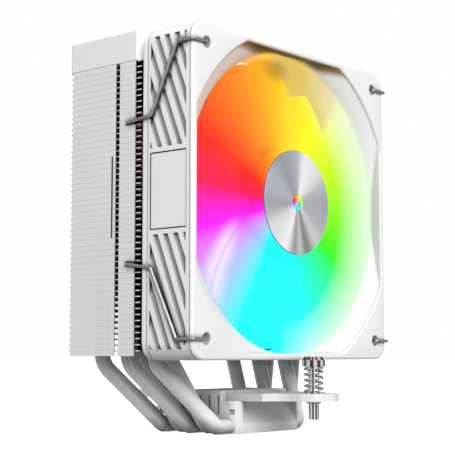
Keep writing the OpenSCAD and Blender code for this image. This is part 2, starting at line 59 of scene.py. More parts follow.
# Fan sizes, worked out from the CAD frame
frame_low, frame_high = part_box("fan_frame")
FAN_X = frame_high.x                                # half width of the frame
FAN_Z = (frame_low.z + frame_high.z) / 2            # height of the fan's axis
FRONT_Y = frame_low.y
FAN_T = frame_high.y - frame_low.y
CORNER_R = 6 * MM
HOLE_OFF = 52.5 * MM
HOLE_R = 2.15 * MM
MOUTH_R = 64.5 * MM
MOUTH_DEPTH = 6 * MM
FLAT_HALF = FAN_X - 2.5 * MM
BLADE_TIP_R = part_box("impeller")[1].x
DUCT_R = BLADE_TIP_R + 1.6 * MM
HUB_R = 20.6 * MM
SKIRT_R = 21.6 * MM
HUB_STEP = 10.6 * MM
HUB_END = 20.8 * MM


# ---------------------------------------------------------------- mesh helpers

def make_piece(name, verts, faces, body, slot, material, replaces=()):
    """A smooth-shaded mesh piece that rides on a CAD body."""
    mesh = bpy.data.meshes.new(name)
    mesh.from_pydata([tuple(v) for v in verts], [], faces)
    mesh.validate()
    mesh.polygons.foreach_set("use_smooth", [True] * len(mesh.polygons))
    piece = bpy.data.objects.new(name, mesh)
    bpy.context.scene.collection.objects.link(piece)
    fix_normals(piece)
    mesh.materials.append(material)
    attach(piece, body)
    if replaces:
        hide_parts(*replaces)
    return piece


def fix_normals(piece):
    edit = bmesh.new()
    edit.from_mesh(piece.data)
    bmesh.ops.recalc_face_normals(edit, faces=edit.faces)
    edit.to_mesh(piece.data)
    edit.free()


def sharpen(piece, angle=30):
    """Keeps edges sharper than the angle crisp and shades the rest smooth."""
    piece.data.set_sharp_from_angle(angle=math.radians(angle))


def add_bevel(piece, width, segments=3, angle=35):
    bevel = piece.modifiers.new("round_edges", "BEVEL")
    bevel.width = width
    bevel.segments = segments
    bevel.limit_method = "ANGLE"
    bevel.angle_limit = math.radians(angle)
    bevel.harden_normals = True


def cut(piece, tool):
    """Takes the tool's shape out of the piece and removes the tool."""
    boolean = piece.modifiers.new("cut", "BOOLEAN")
    boolean.operation = "DIFFERENCE"
    boolean.solver = "EXACT"
    boolean.object = tool
    bpy.context.view_layer.update()
    evaluated = piece.evaluated_get(bpy.context.evaluated_depsgraph_get())
    result = bpy.data.meshes.new_from_object(evaluated)
    piece.modifiers.remove(boolean)
    piece.data = result
    bpy.data.objects.remove(tool)


def tool_mesh(verts, faces):
    mesh = bpy.data.meshes.new("tool")
    mesh.from_pydata([tuple(v) for v in verts], [], faces)
    tool = bpy.data.objects.new("tool", mesh)
    bpy.context.scene.collection.objects.link(tool)
    fix_normals(tool)
    return tool


def ring_faces(rings, count, closed_rings=False):
    """Quads between neighbouring rings of count points each."""
    faces = []
    pairs = rings if closed_rings else rings - 1
    for i in range(pairs):
        a, b = i * count, ((i + 1) % rings) * count
        for j in range(count):
            after = (j + 1) % count
            faces.append((a + j, a + after, b + after, b + j))
    return faces


def lathe(profile, centre, axis="y", count=96, closed=False):
    """Turns (radius, distance along the axis) points about an axis through centre."""
    angles = np.arange(count) * 2 * math.pi / count
    verts = []
    for radius, along in profile:
        for a in angles:
            across = (radius * math.cos(a), radius * math.sin(a))
            if axis == "y":
                verts.append((centre[0] + across[0], centre[1] + along, centre[2] + across[1]))
            else:
                verts.append((centre[0] + across[0], centre[1] + across[1], centre[2] + along))
    faces = ring_faces(len(profile), count, closed)
    if not closed:
        last = (len(profile) - 1) * count
        faces.append(tuple(range(count)))
        faces.append(tuple(range(last + count - 1, last - 1, -1)))
    return verts, faces


def fillet(corner, start, end, radius, steps=5):
    """Points of a round between two straight runs of a profile that meet at corner."""
    c, a, b = (np.array(p, float) for p in (corner, start, end))
    to_a, to_b = (a - c) / np.linalg.norm(a - c), (b - c) / np.linalg.norm(b - c)
    half = math.acos(np.clip(to_a @ to_b, -1, 1)) / 2
    centre = c + (to_a + to_b) / np.linalg.norm(to_a + to_b) * radius / math.sin(half)
    reach = radius / math.tan(half)
    first = c + to_a * reach - centre
    last = c + to_b * reach - centre
    points = []
    for t in np.linspace(0, 1, steps + 1):
        p = first * (1 - t) + last * t
        points.append(tuple(centre + p / np.linalg.norm(p) * radius))
    return points


def rounded_profile(points, radius, steps=4):
    """A closed profile with every corner rounded."""
    out = []
    for i, p in enumerate(points):
        out += fillet(p, points[i - 1], points[(i + 1) % len(points)], radius, steps)
    return out


def box_verts(low, high):
    return [(x, y, z) for x in (low[0], high[0]) for y in (low[1], high[1]) for z in (low[2], high[2])]


BOX_FACES = [(0, 1, 3, 2), (4, 6, 7, 5), (0, 4, 5, 1), (2, 3, 7, 6), (0, 2, 6, 4), (1, 5, 7, 3)]


# ---------------------------------------------------------------- shader helpers

def new_material(name):
    material = bpy.data.materials.new(name)
    material.use_nodes = True
    tree = material.node_tree
    tree.nodes.clear()
    return material, tree


def add(tree, kind, links=None, **settings):
    """A new shader node. links fills inputs with values or with other nodes' outputs."""
    node = tree.nodes.new(kind)
    for key, value in settings.items():
        setattr(node, key, value)
    for key, value in (links or {}).items():
        if isinstance(value, bpy.types.NodeSocket):
            tree.links.new(value, node.inputs[key])
        else:
            node.inputs[key].default_value = value
    return node


def calc(tree, operation, a, b=0.0, c=0.0):
    return add(tree, "ShaderNodeMath", {0: a, 1: b, 2: c}, operation=operation).outputs[0]


def ramp(tree, value, stops, smooth="LINEAR"):
    """A colour ramp through (position, colour) stops."""
    node = add(tree, "ShaderNodeValToRGB", {"Fac": value})
    node.color_ramp.interpolation = smooth
    elements = node.color_ramp.elements
    while len(elements) > 1:
        elements.remove(elements[-1])
    for i, (position, colour) in enumerate(stops):
        element = elements[0] if i == 0 else elements.new(position)
        element.position = position
        element.color = (*colour, 1) if len(colour) == 3 else colour
    return node.outputs["Color"]


def grey(value):
    return (value, value, value)


def linear(colour):
    """Screen colour 0-255 to linear light."""
    return tuple((c / 255 / 12.92) if c <= 10 else ((c / 255 + 0.055) / 1.055) ** 2.4 for c in colour)


def object_point(tree):
    return add(tree, "ShaderNodeTexCoord").outputs["Object"]


def noise(tree, scale, detail=3.0, stretch=None):
    """Noise over the object's own coordinates, in features per metre."""
    point = object_point(tree)
    if stretch:
        point = add(tree, "ShaderNodeMapping", {"Vector": point, "Scale": stretch}).outputs[0]
    links = {"Vector": point, "Scale": scale, "Detail": detail}
    return add(tree, "ShaderNodeTexNoise", links).outputs["Fac"]


def between(tree, value, low, high):
    return add(tree, "ShaderNodeMapRange", {"Value": value, "To Min": low, "To Max": high}).outputs[0]


def scaled(tree, colour, factor):
    return add(tree, "ShaderNodeVectorMath", {0: colour, "Scale": factor}, operation="SCALE").outputs[0]


def painted_gap_shade(tree, reach, darkest, power=1.0):
    """Painted shade: 1 in the open, down to darkest in narrow gaps."""
    open_share = add(tree, "ShaderNodeAmbientOcclusion", {"Distance": reach}, samples=8).outputs["AO"]
    return between(tree, calc(tree, "POWER", open_share, power), darkest, 1.0)


def surface(tree, bsdf_inputs, bump=None, bump_depth=0.0, round_edges=0.0):
    """A principled surface, with bump and softly rounded edges."""
    normal = None
    if round_edges:
        normal = add(tree, "ShaderNodeBevel", {"Radius": round_edges}, samples=6).outputs[0]
    if bump is not None:
        links = {"Height": bump, "Strength": 1.0, "Distance": bump_depth}
        if normal is not None:
            links["Normal"] = normal
        normal = add(tree, "ShaderNodeBump", links).outputs[0]
    bsdf = add(tree, "ShaderNodeBsdfPrincipled", bsdf_inputs)
    if normal is not None:
        tree.links.new(normal, bsdf.inputs["Normal"])
    add(tree, "ShaderNodeOutputMaterial", {"Surface": bsdf.outputs[0]})
    return bsdf


# ---------------------------------------------------------------- materials

# Moulded plastic: spark texture and flow marks in features per metre, and how deep the texture is
SPARK_SCALE = 5200
FLOW_SCALE = 55
SPARK_DEPTH = 0.012 * MM

# Light that the top cover's front faces give off, in place of what the lit fan throws at them
COVER_GLOW = 0.45


def panel_white():
    """Injection-moulded plastic: fine spark texture, faint flow marks, and painted shade in the grooves."""
    material, tree = new_material("panel_white")
    tone = 0.90
    roughness = 0.34
    grain = noise(tree, SPARK_SCALE, 2)
    flow = noise(tree, FLOW_SCALE, 2)
    colour = ramp(tree, flow, [(0.3, grey(tone * 0.985)), (0.7, grey(tone))])
    # painted shade: the grooves between the ribs are darkened
    colour = scaled(tree, colour, painted_gap_shade(tree, 2.8 * MM, 0.04, 5.0))
    rough = between(tree, grain, roughness - 0.06, roughness + 0.08)
    surface(tree, {"Base Color": colour, "Roughness": rough, "Specular IOR Level": 0.4}, grain, SPARK_DEPTH)
    return material


def cover_white():
    """The top cover: its front faces carry painted light, in place of what the lit fan throws at them."""
    material, tree = new_material("cover_white")
    grain = noise(tree, SPARK_SCALE, 2)
    colour = ramp(tree, noise(tree, FLOW_SCALE, 2), [(0.3, grey(0.85)), (0.7, grey(0.87))])
    # painted light: faces that look to the front glow
    facing = add(tree, "ShaderNodeSeparateXYZ", {0: add(tree, "ShaderNodeNewGeometry").outputs["Normal"]})
    front = rise(tree, facing.outputs["Y"], -0.2, -0.9)
    glow = calc(tree, "MULTIPLY", front, COVER_GLOW)
    surface(tree, {"Base Color": colour, "Roughness": between(tree, grain, 0.34, 0.48),
                   "Specular IOR Level": 0.4, "Emission Color": (1, 1, 1, 1), "Emission Strength": glow},
            grain, SPARK_DEPTH, 0.8 * MM)
    return material


def coated_metal(name, tone, roughness, round_edges=0.0, gap_shade_tone=0.22, reach=7 * MM):
    """White coat over metal: slight orange peel, a clear gloss, and painted shade in narrow gaps."""
    material, tree = new_material(name)
    peel = noise(tree, 700, 2)
    cloud = noise(tree, 60, 3)
    colour = ramp(tree, cloud, [(0.3, grey(tone * 0.97)), (0.7, grey(tone))])
    # painted shade, darker in narrow gaps and corners
    colour = scaled(tree, colour, painted_gap_shade(tree, reach, gap_shade_tone, 1.6))
    rough = between(tree, peel, roughness - 0.04, roughness + 0.06)
    surface(tree, {"Base Color": colour, "Roughness": rough, "Specular IOR Level": 0.6,
                   "Coat Weight": 0.4, "Coat Roughness": 0.15},
            peel, 0.000003, round_edges)
    return material


def fin_coat():
    """Thin white coat on rolled sheet: rolling marks run along the fin; painted shade darkens the gaps
    between fins.
    """
    material, tree = new_material("fin_white_coat")
    rolled = noise(tree, 700, 3, (0.06, 1, 1))
    cloud = noise(tree, 45, 2)
    colour = ramp(tree, cloud, [(0.3, grey(0.82)), (0.7, grey(0.86))])
    # painted shade in the narrow gaps between the fins
    colour = scaled(tree, colour, painted_gap_shade(tree, 2.6 * MM, 0.04, 3.4))
    rough = between(tree, rolled, 0.34, 0.5)
    surface(tree, {"Base Color": colour, "Roughness": rough, "Metallic": 0.15}, rolled, 0.000006)
    return material


def bright_metal(name, tone, roughness, streak=(1, 1, 0.08), round_edges=0.0):
    """Plated metal with fine turning marks."""
    material, tree = new_material(name)
    marks = noise(tree, 6000, 2, streak)
    tarnish = noise(tree, 120, 3)
    colour = ramp(tree, tarnish, [(0.35, grey(tone * 0.9)), (0.65, grey(tone))])
    rough = between(tree, marks, roughness * 0.7, roughness * 1.5)
    surface(tree, {"Base Color": colour, "Roughness": rough, "Metallic": 1.0},
            marks, 0.000006, round_edges)
    return material


def plain_procedural(name, dark, light, roughness, scale=400, metallic=0.0, stretch=None):
    """For the pieces inside the fan: two tones mixed by noise."""
    material, tree = new_material(name)
    grain = noise(tree, scale, 3, stretch)
    colour = ramp(tree, grain, [(0.35, dark), (0.65, light)])
    surface(tree, {"Base Color": colour, "Roughness": between(tree, grain, roughness * 0.8, roughness * 1.2),
                   "Metallic": metallic}, grain, 0.00002)
    return material


def wound_copper():
    material, tree = new_material("wound_copper")
    turns = add(tree, "ShaderNodeTexWave", {"Vector": object_point(tree), "Scale": 900.0, "Distortion": 0.5},
                bands_direction="Y").outputs["Fac"]
    colour = ramp(tree, turns, [(0.1, (0.22, 0.06, 0.02)), (0.7, (0.75, 0.3, 0.12))])
    surface(tree, {"Base Color": colour, "Roughness": 0.3, "Metallic": 0.8}, turns, 0.0001)
    return material


def stacked_steel():
    material, tree = new_material("stacked_steel")
    sheets = add(tree, "ShaderNodeTexWave", {"Vector": object_point(tree), "Scale": 620.0},
                 bands_direction="Y").outputs["Fac"]
    colour = ramp(tree, sheets, [(0.2, grey(0.12)), (0.6, grey(0.42))])
    surface(tree, {"Base Color": colour, "Roughness": 0.4, "Metallic": 0.9}, sheets, 0.00004)
    return material


# Where the line of sight is taken to meet the blurred blades, and how far along it may reach
GLOW_PLANE = FRONT_Y + 7 * MM
GLOW_REACH = 40 * MM

# White light that leaks between the blades: its share of a turn, its lean per metre outwards, its rays
LEAK_TURN = 0.510
LEAK_LEAN = 1.8
LEAK_RAYS = 95.0
LEAK_WHITE = (0.96, 0.90, 1.0, 1)

# A patch of painted shade at the top, the duct's white wall seen in shade under the blades' warm light:
# how far out the front blade's edge is at each share of a turn, and how softly the patch starts there
SHADED_DUCT_EDGE = [(0.11, 37 * MM), (0.20, 47 * MM), (0.235, 42 * MM), (0.28, 56 * MM)]
SHADED_DUCT_SOFTNESS = [(0.225, 0.8 * MM), (0.245, 5 * MM), (0.28, 7 * MM)]
SHADED_DUCT_TAN = (*linear((218, 184, 100)), 1)

# A strut's shadow, high on the left: where it is, how far it reaches and its squeeze across
SHADOW_X = -3 * MM
SHADOW_Z = 52 * MM
SHADOW_REACH = 7 * MM
SHADOW_SQUEEZE = 0.6
SHADOW_BROWN = (*linear((96, 62, 40)), 1)

# Where the duct's white wall shows through, on the right: how strongly at each share of a turn
PALE_SHARE = [(0.0, 0.78), (0.12, 0.72), (0.17, 0.3), (0.22, 0.0), (0.74, 0.0), (0.80, 0.55), (0.88, 0.7),
              (1.0, 0.78)]
PALE_LOW_RIGHT = [(0.6, 0.0), (0.78, 1.0), (0.95, 0.0)]
PALE_WHITE = (0.93, 1.0, 0.90, 1)

# Painted light and shade on the frame's plastic inside the mouth: warm light, brown shade, a dark duct
MOUTH_WARM_LIGHT = (*linear((255, 214, 190)), 1)
MOUTH_SHADE_BROWN = (*linear((150, 116, 72)), 1)
DUCT_SHADE_DARK = (0.05, 0.05, 0.05, 1)

# The ring of lights: place in degrees anticlockwise from the right, and the hue it shows there
RING_HUES = [(0, 90), (60, 60), (120, 30), (155, 5), (175, 345), (195, 300), (240, 180), (285, 180),
             (330, 115), (360, 90)]
RING_SATURATION = 0.86


def ring_colours():
    """Ramp stops for the ring of lights: pure hues, each melting into the next."""
    stops = []
    for place, hue in RING_HUES:
        colour = colorsys.hsv_to_rgb(hue / 360, RING_SATURATION, 1)
        stops.append((place / 360, linear([c * 255 for c in colour])))
    return stops


def seen_point(tree, plane):
    """Where the line of sight crosses a plane across the fan, measured from the fan's axis."""
    geometry = add(tree, "ShaderNodeNewGeometry")
    place = add(tree, "ShaderNodeSeparateXYZ", {0: geometry.outputs["Position"]})
    sight = add(tree, "ShaderNodeSeparateXYZ", {0: geometry.outputs["Incoming"]})
    steps = calc(tree, "DIVIDE", calc(tree, "SUBTRACT", plane, place.outputs["Y"]), sight.outputs["Y"])
    steps = add(tree, "ShaderNodeClamp", {"Value": steps, "Min": -GLOW_REACH, "Max": GLOW_REACH}).outputs[0]
    x = calc(tree, "MULTIPLY_ADD", sight.outputs["X"], steps, place.outputs["X"])
    z = calc(tree, "MULTIPLY_ADD", sight.outputs["Z"], steps, place.outputs["Z"])
    return x, calc(tree, "SUBTRACT", z, FAN_Z)


def polar(tree, x, z):
    """Share of a turn anticlockwise from the right, and distance from the axis."""
    turns = calc(tree, "DIVIDE", calc(tree, "ARCTAN2", z, x), 2 * math.pi)
    turn = calc(tree, "FRACT", calc(tree, "ADD", turns, 1))
    squares = calc(tree, "ADD", calc(tree, "MULTIPLY", x, x), calc(tree, "MULTIPLY", z, z))
    radius = calc(tree, "SQRT", squares)
    return turn, radius


def rise(tree, value, low, high):
    """0 below low, 1 above high, smooth between; falls instead when low is the larger."""
    return add(tree, "ShaderNodeMapRange", {"Value": value, "From Min": low, "From Max": high},
               interpolation_type="SMOOTHSTEP").outputs[0]


def blend(tree, share, colour, other):
    """colour where share is 0, other where it is 1."""
    return add(tree, "ShaderNodeMix", {0: share, 6: colour, 7: other}, data_type="RGBA").outputs[2]


def product(tree, first, *others):
    for other in others:
        first = calc(tree, "MULTIPLY", first, other)
    return first


def number_ramp(tree, value, stops, unit=1.0):
    """A ramp of plain numbers. A colour ramp only holds 0 to 1, so longer ones are in a given unit."""
    shares = ramp(tree, value, [(place, grey(number / unit)) for place, number in stops])
    return shares if unit == 1.0 else calc(tree, "MULTIPLY", shares, unit)


def add_leak(tree, colour, turn, radius):
    """White light between magenta and cyan, leaning with the blades and broken into rays."""
    lean = calc(tree, "MULTIPLY_ADD", radius, -LEAK_LEAN, turn)
    rays = add(tree, "ShaderNodeTexNoise", {"Scale": 1.0, "Detail": 2.0}, noise_dimensions="1D")
    tree.links.new(calc(tree, "MULTIPLY", lean, LEAK_RAYS), rays.inputs["W"])
    start = rise(tree, lean, LEAK_TURN - 0.034, LEAK_TURN - 0.004)
    end = rise(tree, lean, LEAK_TURN + 0.036, LEAK_TURN + 0.005)
    outwards = rise(tree, radius, 26 * MM, 40 * MM)
    fading = between(tree, rise(tree, radius, 58 * MM, 50 * MM), 0.5, 0.85)
    streaks = between(tree, rays.outputs["Fac"], 0.1, 1.5)
    leak = product(tree, start, end, calc(tree, "MULTIPLY", outwards, fading), streaks)
    leak = add(tree, "ShaderNodeClamp", {"Value": leak}).outputs[0]
    return blend(tree, leak, colour, LEAK_WHITE)


def add_shaded_duct(tree, colour, turn, radius):
    """Painted shade: the blades thin out over the shaded duct at the top, beyond the edge of the front blade.
    """
    decimetre = 0.1
    edge = number_ramp(tree, turn, SHADED_DUCT_EDGE, decimetre)
    softness = number_ramp(tree, turn, SHADED_DUCT_SOFTNESS, decimetre)
    span = calc(tree, "MULTIPLY", rise(tree, turn, 0.125, 0.155), rise(tree, turn, 0.29, 0.25))
    beyond = rise(tree, calc(tree, "SUBTRACT", radius, edge), -0.4 * MM, softness)
    return blend(tree, product(tree, span, beyond, 0.8), colour, SHADED_DUCT_TAN)


def add_shadow(tree, colour, x, z):
    """A strut's shadow through the blades."""
    squeezed = calc(tree, "MULTIPLY", x, SHADOW_SQUEEZE)
    point = add(tree, "ShaderNodeCombineXYZ", {"X": squeezed, "Z": z}).outputs[0]
    away = add(tree, "ShaderNodeVectorMath", {0: point, 1: (SHADOW_X, 0, SHADOW_Z)}, operation="DISTANCE")
    shadow = calc(tree, "MULTIPLY", rise(tree, away.outputs["Value"], SHADOW_REACH, 0), 0.5)
    return blend(tree, shadow, colour, SHADOW_BROWN)


def add_pale_right(tree, colour, turn, radius):
    """Paler towards the duct on the right, where its white wall shows through."""
    start = between(tree, number_ramp(tree, turn, PALE_LOW_RIGHT), 37 * MM, 45 * MM)
    links = {"Value": radius, "From Min": start, "From Max": 57 * MM}
    pale = add(tree, "ShaderNodeMapRange", links).outputs[0]
    share = calc(tree, "MULTIPLY", pale, number_ramp(tree, turn, PALE_SHARE))
    return blend(tree, share, colour, PALE_WHITE)


def fan_glow(tree, plane=GLOW_PLANE):
    """Colour of the spinning lit blades, blurred together: it follows the lights, not the blade."""
    x, z = seen_point(tree, plane)
    turn, radius = polar(tree, x, z)
    colour = ramp(tree, turn, ring_colours())
    colour = add_leak(tree, colour, turn, radius)
    colour = add_shaded_duct(tree, colour, turn, radius)
    colour = add_shadow(tree, colour, x, z)
    return add_pale_right(tree, colour, turn, radius)


def place_on_fan(tree):
    """A surface point's own place: share of a turn, and distance from the fan's axis."""
    place = add(tree, "ShaderNodeSeparateXYZ", {0: add(tree, "ShaderNodeNewGeometry").outputs["Position"]})
    return polar(tree, place.outputs["X"], calc(tree, "SUBTRACT", place.outputs["Z"], FAN_Z))


def lit_blades(name="lit_frosted_blade", has_bore=False):
    """Frosted plastic lit from the hub, with the edges of the blades just showing through painted shade."""
    material, tree = new_material(name)
    colour = fan_glow(tree)
    if has_bore:
        turn, radius = place_on_fan(tree)
        colour = blend(tree, rise(tree, radius, 6 * MM, 4 * MM), colour, fan_glow(tree, FRONT_Y))
    frost = noise(tree, 2600, 2)
    facing = add(tree, "ShaderNodeLayerWeight", {"Blend": 0.3}).outputs["Facing"]
    # painted shade: a little darker where the blade turns away and in narrow gaps
    level = calc(tree, "MULTIPLY", between(tree, facing, 1.0, 0.90), painted_gap_shade(tree, 5 * MM, 0.86))
    spill = add(tree, "ShaderNodeLightPath").outputs["Is Diffuse Ray"]
    level = calc(tree, "MULTIPLY", level, between(tree, spill, 1.0, 0.35))
    surface(tree, {"Base Color": scaled(tree, colour, 0.05), "Roughness": between(tree, frost, 0.4, 0.5),
                   "Specular IOR Level": 0.12, "Emission Color": colour, "Emission Strength": level})
    return material


def frame_white():
    """The frame's white plastic. Inside the duct it also carries the light of the blades."""
    material, tree = new_material("white_plastic")
    grain = noise(tree, SPARK_SCALE, 2)
    colour = ramp(tree, noise(tree, FLOW_SCALE, 2), [(0.3, grey(0.915)), (0.7, grey(0.93))])
    # painted shade in narrow gaps
    colour = scaled(tree, colour, painted_gap_shade(tree, 1.6 * MM, 0.3, 2.2))
    place = add(tree, "ShaderNodeSeparateXYZ", {0: add(tree, "ShaderNodeNewGeometry").outputs["Position"]})
    x, z = place.outputs["X"], calc(tree, "SUBTRACT", place.outputs["Z"], FAN_Z)
    depth = calc(tree, "SUBTRACT", place.outputs["Y"], FRONT_Y)
    reach = calc(tree, "MAXIMUM", calc(tree, "ABSOLUTE", x), calc(tree, "ABSOLUTE", z))
    turn, radius = polar(tree, x, z)
    inside = calc(tree, "MULTIPLY", rise(tree, reach, FLAT_HALF + 1.0 * MM, FLAT_HALF + 0.6 * MM),
                  rise(tree, radius, MOUTH_R + 1.2 * MM, MOUTH_R + 0.6 * MM))
    duct = calc(tree, "MULTIPLY", inside, rise(tree, depth, 3.5 * MM, MOUTH_DEPTH))
    # painted light: the blades' warm glow on the upper left of the mouth
    warm = calc(tree, "MULTIPLY", calc(tree, "MULTIPLY", inside, rise(tree, x, 5 * MM, -20 * MM)),
                rise(tree, z, 5 * MM, 30 * MM))
    colour = blend(tree, calc(tree, "MULTIPLY", warm, 0.55), colour, MOUTH_WARM_LIGHT)
    # painted shade on the flat at the top of the mouth, which faces down and takes only the blades' warm
    # light
    lens = calc(tree, "MULTIPLY", calc(tree, "MULTIPLY", inside, rise(tree, depth, 0.4 * MM, 1.2 * MM)),
                rise(tree, z, FLAT_HALF - 4 * MM, FLAT_HALF - 1 * MM))
    colour = blend(tree, lens, colour, MOUTH_SHADE_BROWN)
    # painted shade deeper in the duct, where the plastic shows only the blades' light that it gives off
    colour = blend(tree, duct, colour, DUCT_SHADE_DARK)
    surface(tree, {"Base Color": colour, "Roughness": between(tree, grain, 0.36, 0.5),
                   "Specular IOR Level": 0.4, "Emission Color": fan_glow(tree),
                   "Emission Strength": calc(tree, "MULTIPLY", duct, 0.97)}, grain, SPARK_DEPTH)
    return material


# Tones round the spun disc: share of a turn, and what it seems to reflect there
DISC_PAINTED_REFLECTIONS = [
    (0.00, (0.62, 0.64, 0.70)), (0.06, (0.70, 0.72, 0.78)), (0.13, grey(1.0)), (0.20, (0.96, 0.97, 1.0)),
    (0.26, (0.50, 0.52, 0.58)), (0.34, (0.44, 0.46, 0.52)), (0.44, (0.60, 0.62, 0.68)),
    (0.52, (0.52, 0.54, 0.60)), (0.60, grey(0.95)), (0.68, grey(1.0)), (0.735, grey(0.36)),
    (0.76, grey(0.70)), (0.80, grey(0.30)), (0.86, grey(0.85)), (0.93, (0.60, 0.62, 0.66)),
    (1.00, (0.62, 0.64, 0.70)),
]


def spun_disc():
    """Spun aluminium: fine rings, with painted reflections in light and dark sectors that fan out from the
    middle.
    """
    material, tree = new_material("spun_aluminium")
    turn, radius = place_on_fan(tree)
    rings = add(tree, "ShaderNodeTexNoise", {"Scale": 1.0, "Detail": 2.0}, noise_dimensions="1D")
    tree.links.new(calc(tree, "MULTIPLY", radius, 9000.0), rings.inputs["W"])
    sectors = ramp(tree, turn, DISC_PAINTED_REFLECTIONS, "EASE")
    turned = ramp(tree, rings.outputs["Fac"], [(0.3, grey(0.2)), (0.7, grey(1.0))])
    shade = blend(tree, 0.12, sectors, turned)
    tangent = add(tree, "ShaderNodeTangent", direction_type="RADIAL", axis="Y").outputs[0]
    # the painted reflections also give off a faint painted glow
    bsdf = surface(tree, {"Base Color": shade, "Metallic": 0.85, "Roughness": 0.38, "Anisotropic": 0.7,
                          "Emission Color": shade, "Emission Strength": 0.08}, rings.outputs["Fac"], 0.000003)
    tree.links.new(tangent, bsdf.inputs["Tangent"])
    return material


WHITE_PLASTIC = frame_white()
PANEL_WHITE = panel_white()
COVER_WHITE = cover_white()
FIN_WHITE = fin_coat()
PIPE_WHITE = coated_metal("pipe_white", 0.88, 0.24)
BASE_WHITE = coated_metal("base_white", 0.90, 0.32, 0.3 * MM, 0.6, 4 * MM)
BRACKET_WHITE = coated_metal("bracket_white", 0.90, 0.22, 0.3 * MM, 0.6, 4 * MM)
SCREW_STEEL = bright_metal("screw_steel", 0.62, 0.14)
CLIP_STEEL = bright_metal("clip_steel", 0.42, 0.34, (1, 1, 1))
BLADE_LIT = lit_blades()
HUB_LIT = lit_blades("lit_hub", True)
DISC_METAL = spun_disc()
RUBBER = plain_procedural("pad_rubber", grey(0.02), grey(0.05), 0.7)
BRONZE = plain_procedural("sintered_bronze", (0.25, 0.13, 0.04), (0.5, 0.3, 0.12), 0.4, 1500, 0.8)
BOARD = plain_procedural("circuit_board", (0.01, 0.06, 0.02), (0.02, 0.16, 0.06), 0.3, 500)
MAGNET = plain_procedural("bonded_magnet", grey(0.02), grey(0.06), 0.5, 1200)
LENS = plain_procedural("light_lens", grey(0.75), (0.95, 0.93, 0.75), 0.15, 900)
SLEEVE = plain_procedural("lead_sleeve", grey(0.7), grey(0.88), 0.5, 1600, 0.0, (1, 1, 0.2))
COPPER = wound_copper()
LAMINATIONS = stacked_steel()

CAD_LOOKS = {
    "fin_stack": FIN_WHITE, "heat_pipe_1": PIPE_WHITE, "heat_pipe_2": PIPE_WHITE, "heat_pipe_3": PIPE_WHITE,
    "heat_pipe_4": PIPE_WHITE, "heat_pipe_5": PIPE_WHITE, "fan_clip_left": CLIP_STEEL,
    "fan_clip_right": CLIP_STEEL, "captive_screw_front": SCREW_STEEL, "captive_screw_rear": SCREW_STEEL,
    "retaining_ring_front": CLIP_STEEL, "retaining_ring_rear": CLIP_STEEL,
    "spring_washer_front": SCREW_STEEL, "spring_washer_rear": SCREW_STEEL, "bracket_screws": SCREW_STEEL,
    "base_block": BASE_WHITE, "base_cap": BASE_WHITE, "mounting_bracket_front": BRACKET_WHITE,
    "mounting_bracket_rear": BRACKET_WHITE, "top_cover": COVER_WHITE, "vibration_pads": RUBBER,
    "bearing_sleeve": BRONZE, "stator_core": LAMINATIONS, "stator_coils": COPPER, "motor_board": BOARD,
    "light_board": BOARD, "light_chips": LENS, "fan_lead": SLEEVE, "lead_plug": SLEEVE,
    "lead_grommet": RUBBER, "hub_centre_cap": DISC_METAL, "rotor_yoke": LAMINATIONS, "magnet_ring": MAGNET,
    "rotor_shaft": SCREW_STEEL, "shaft_clip": CLIP_STEEL,
}


def dress_cad():
    for name, material in CAD_LOOKS.items():
        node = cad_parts[name]
        node.data.materials.clear()
        node.data.materials.append(material)


# ---------------------------------------------------------------- fan frame

def square_radius(angle, half, corner):
    """Distance from the axis to a rounded square's edge in one direction."""
    c, s = abs(math.cos(angle)), abs(math.sin(angle))
    c, s = max(c, s), min(c, s)
    if half * s / c <= half - corner:
        return half / c
    centre = half - corner
    along = centre * (c + s)
    return along + math.sqrt(along ** 2 - 2 * centre ** 2 + corner ** 2)


def mouth_radius(angle, cone_r, flat):
    reach = max(abs(math.cos(angle)), abs(math.sin(angle)))
    return min(cone_r, flat / reach)


def frame_rings(angles):
    """Rings of (radius, depth) per angle, from the rear face round the outside to the duct and back."""
    lip = 1.3 * MM
    seam = 0.3 * MM
    outside = [(lip, FAN_T)]
    for t in np.linspace(0.3, math.pi / 2, 5):
        outside.append((lip * (1 - math.sin(t)), FAN_T - lip * (1 - math.cos(t))))
    for at in (21.9 * MM, 1.55 * MM):
        outside += [(0, at + seam), (seam, at + seam / 2), (seam, at - seam / 2), (0, at - seam)]
    front_r = 1.1 * MM
    for t in np.linspace(math.pi / 2, 0, 6):
        outside.append((front_r * (1 - math.sin(t)), front_r * (1 - math.cos(t))))
    rings = []
    for inset, depth in outside:
        rings.append([(square_radius(a, FAN_X - inset, CORNER_R - inset), depth) for a in angles])
    rim = 0.9 * MM
    for t in np.linspace(0, math.pi / 2, 6):
        grow, depth = rim * (1 - math.sin(t)), rim * (1 - math.cos(t))
        rings.append([(mouth_radius(a, MOUTH_R, FLAT_HALF) + grow, depth) for a in angles])
    for t in np.linspace(0.08, 1, 14):
        depth = rim + (MOUTH_DEPTH - rim) * t
        cone = MOUTH_R + (DUCT_R - MOUTH_R) * math.sin(t * math.pi / 2)
        rings.append([(mouth_radius(a, cone, FLAT_HALF), depth) for a in angles])
    for depth in (MOUTH_DEPTH + 4 * MM, FAN_T - 5 * MM, FAN_T - 1 * MM):
        rings.append([(DUCT_R, depth) for _ in angles])
    rings.append([(DUCT_R + 0.8 * MM, FAN_T) for _ in angles])
    return rings


